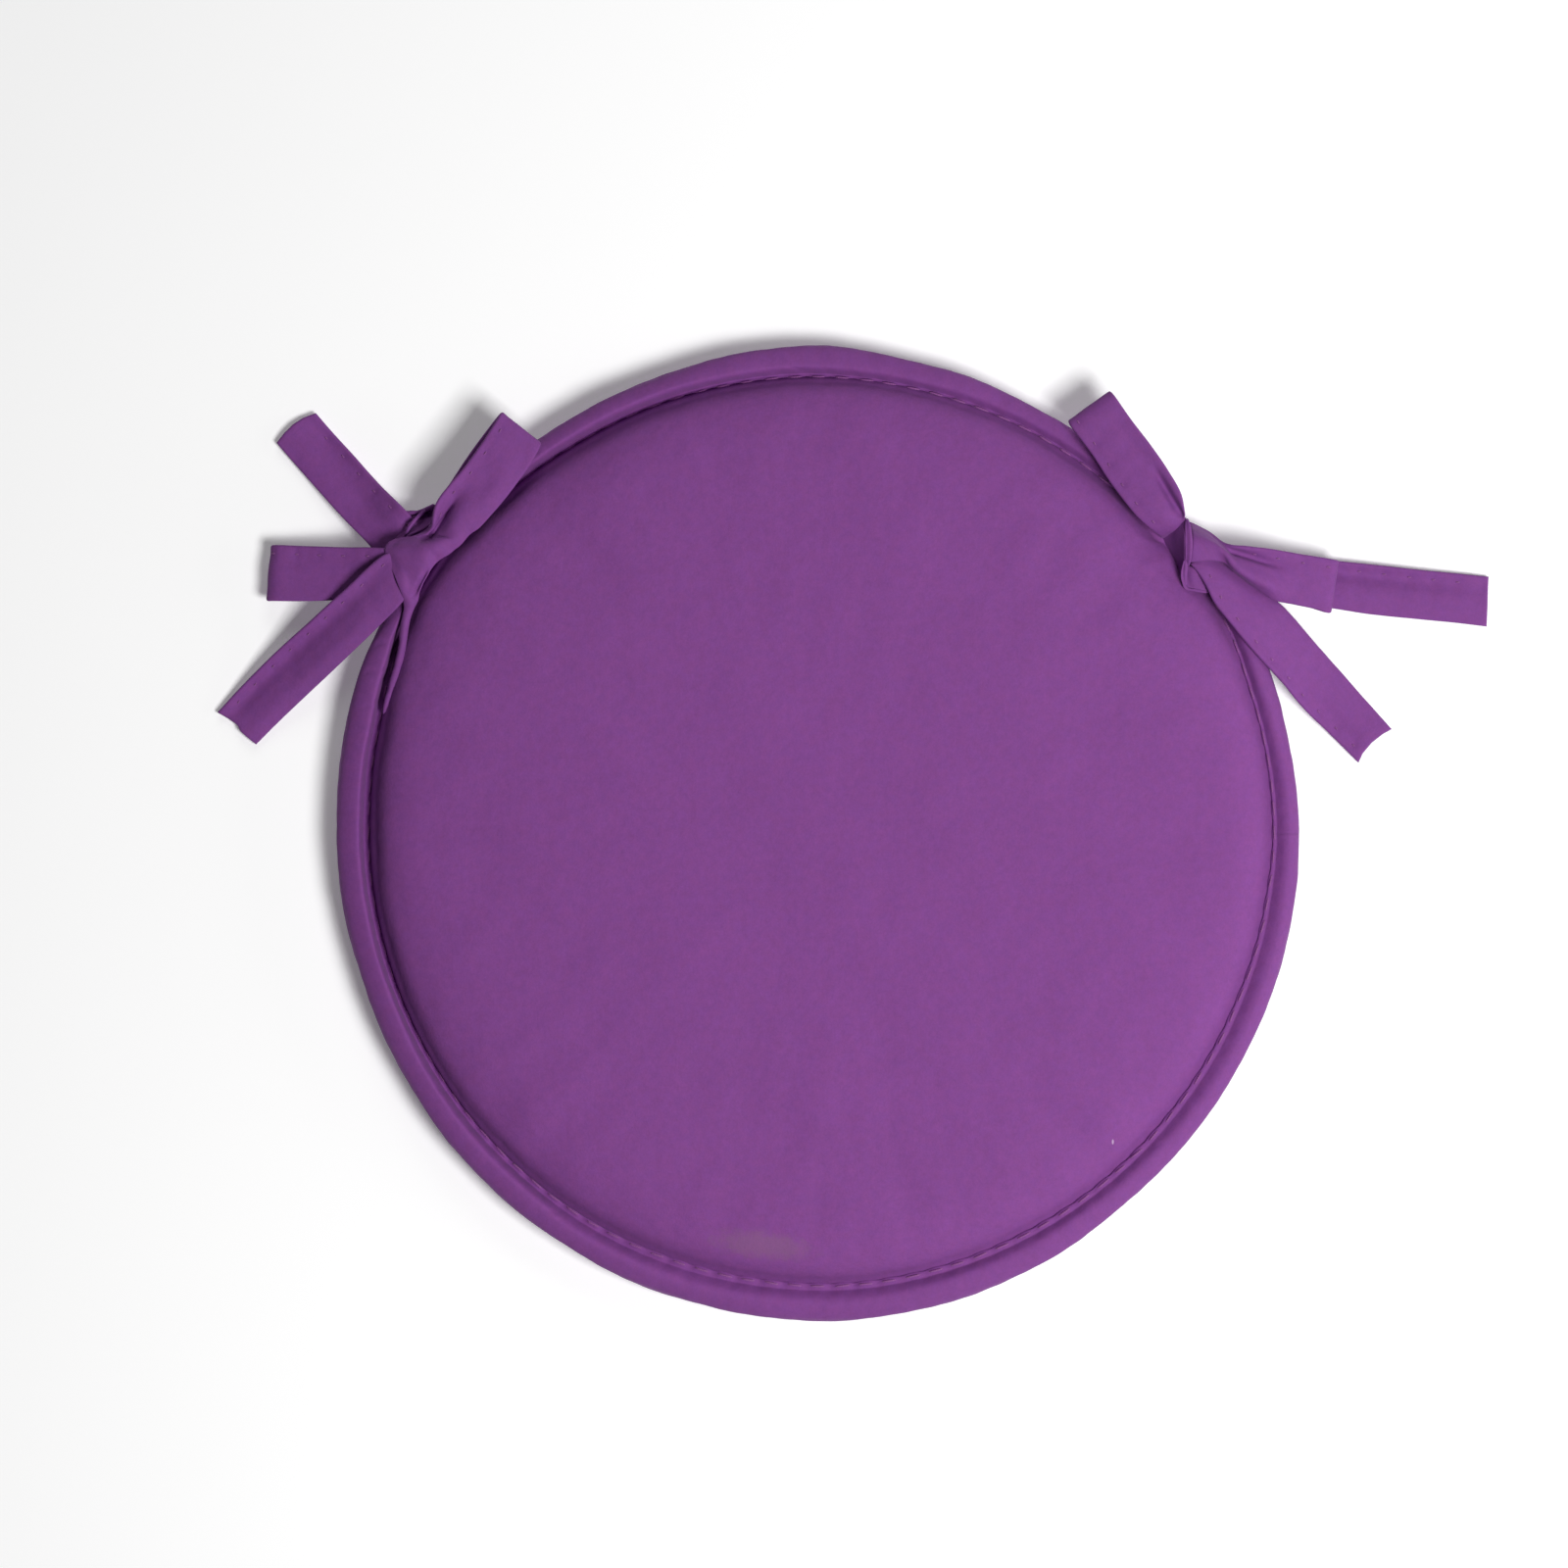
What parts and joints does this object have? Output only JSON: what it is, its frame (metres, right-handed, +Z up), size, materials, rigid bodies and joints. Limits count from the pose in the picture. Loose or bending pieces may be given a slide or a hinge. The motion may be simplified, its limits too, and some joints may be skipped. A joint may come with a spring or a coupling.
{
  "type": "round seat cushion",
  "caption": "Thin round padded seat cushion with a low crown, a bound and topstitched edge, and flat fabric ties sewn into the seam and tied in bows, to fasten it to a chair's back posts.",
  "frame": {"origin": "centre of the flat underside, on the surface that the cushion lies on", "axes": "+Z up through the crown, +X from the left tie to the right tie, +Y towards the side that the ties are sewn to"},
  "size_m": [0.3952, 0.3028, 0.024],
  "materials": {
    "panel_cloth": "matte short-napped knitted or felted cloth, warm purple with a faint mottle",
    "binding_cloth": "matte short-napped cloth, the panels' purple, with paler topstitching",
    "tie_cloth": "matte short-napped cloth, folded double and pressed flat, stitched along one edge"
  },
  "bodies": {
    "root": {"pad": "panel_cloth", "edge_binding": "binding_cloth", "tie_left": "tie_cloth", "tie_right": "tie_cloth"}
  },
  "joints": []
}
